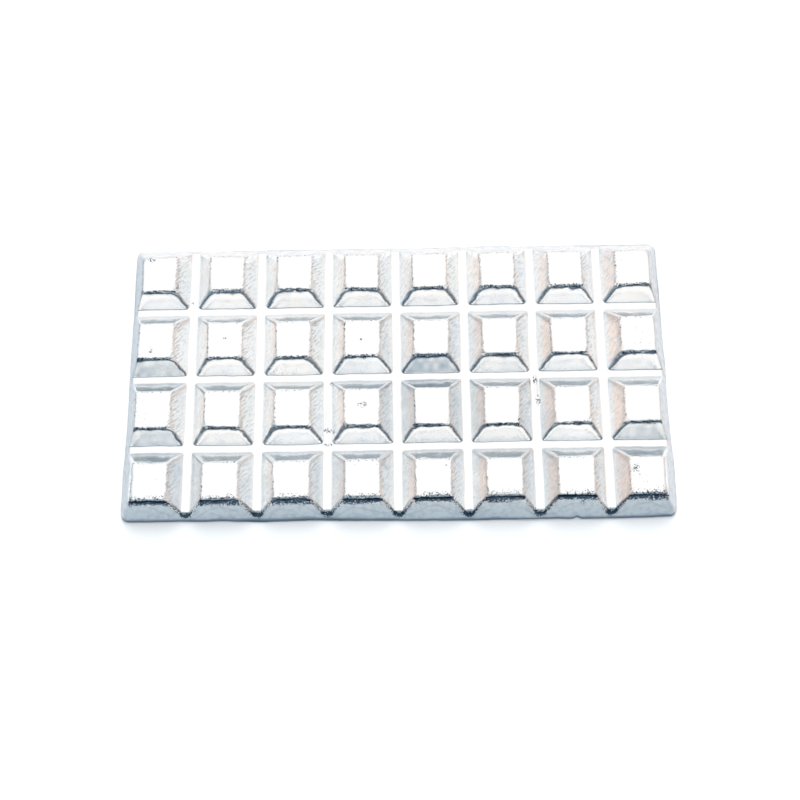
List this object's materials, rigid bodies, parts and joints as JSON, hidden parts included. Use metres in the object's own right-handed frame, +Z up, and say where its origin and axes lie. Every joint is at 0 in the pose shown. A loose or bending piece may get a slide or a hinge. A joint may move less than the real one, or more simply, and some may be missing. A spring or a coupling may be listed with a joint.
{
  "type": "waffle ingot",
  "caption": "Cast aluminium waffle ingot: a low plate divided by crossing grooves into a grid of flat-topped pads, to be broken up along the grooves and remelted.",
  "frame": {"origin": "centre of the flat underside, on the floor", "axes": "+X along the length, across the columns of pads; +Y across the width, across the rows; +Z up, out of the tops of the pads"},
  "size_m": [0.474, 0.2534, 0.022],
  "materials": {
    "cast_metal": "bright as-cast skin, finely wrinkled on the flanks and walls, with small pits on the tops of the pads"
  },
  "bodies": {
    "root": {"ingot": "cast_metal"}
  },
  "joints": []
}
